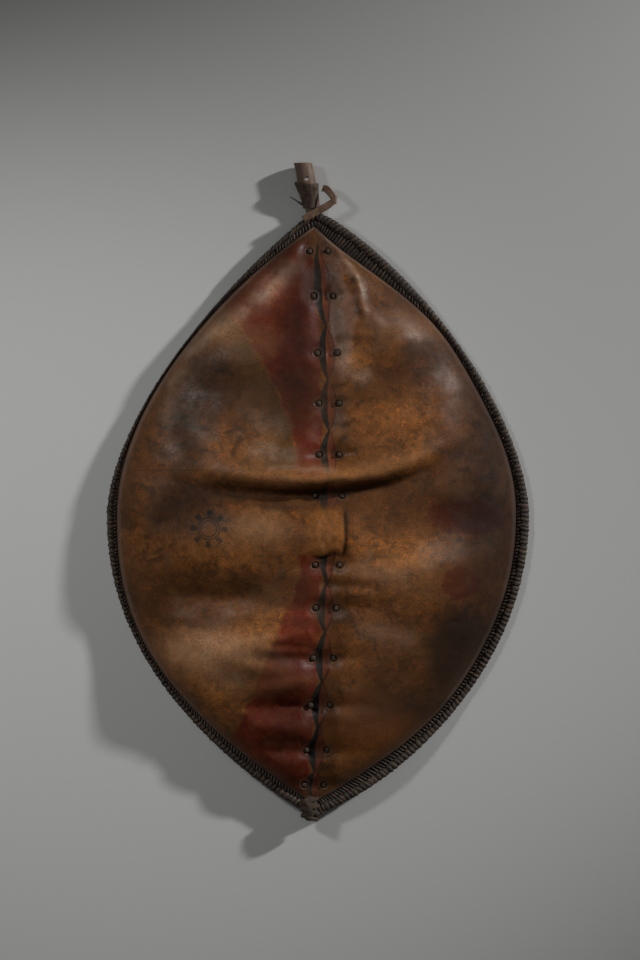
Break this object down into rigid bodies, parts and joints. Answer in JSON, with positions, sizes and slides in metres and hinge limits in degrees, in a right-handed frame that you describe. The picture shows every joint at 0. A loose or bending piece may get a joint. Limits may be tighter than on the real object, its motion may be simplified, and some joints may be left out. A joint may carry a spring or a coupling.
{
  "type": "hide shield",
  "caption": "Pointed-oval rawhide shield, domed front laced over a carved stave with a grip behind, thong-bound rim, lying front up.",
  "frame": {"origin": "bottom centre of the whole shield's box, on the plane that the rim lies on", "axes": "+Z out of the shield's front, +Y along its length towards the stave's bare top end, +X to the right seen from the front"},
  "size_m": [0.635, 0.987, 0.0984],
  "materials": {
    "painted_hide": "glossy mottled tan rawhide with dark red paint in broad areas and a thin blue-black and red-brown chain down the middle",
    "rim_thong": "dark umber thong, overcast turn by turn, worn and dusty",
    "stave_wood": "bare brown-grey hand-worn wood",
    "lace_thong": "dark dry rawhide thong",
    "sleeve_leather": "dull dark leather, cracked and dusty",
    "strap_leather": "stiff rawhide strap, dark outer face and tan inner face"
  },
  "bodies": {
    "root": {"hide_shell": "painted_hide", "rim_binding": "rim_thong", "stave": "stave_wood", "lashing_01": "lace_thong", "lashing_02": "lace_thong", "lashing_03": "lace_thong", "lashing_04": "lace_thong", "lashing_05": "lace_thong", "lashing_06": "lace_thong", "lashing_07": "lace_thong", "lashing_08": "lace_thong", "lashing_09": "lace_thong", "lashing_10": "lace_thong", "lashing_11": "lace_thong", "lashing_12": "lace_thong", "neck_sleeve": "sleeve_leather", "apex_strap": "strap_leather", "thong_tail": "lace_thong", "tail_knot": "lace_thong"}
  },
  "joints": []
}
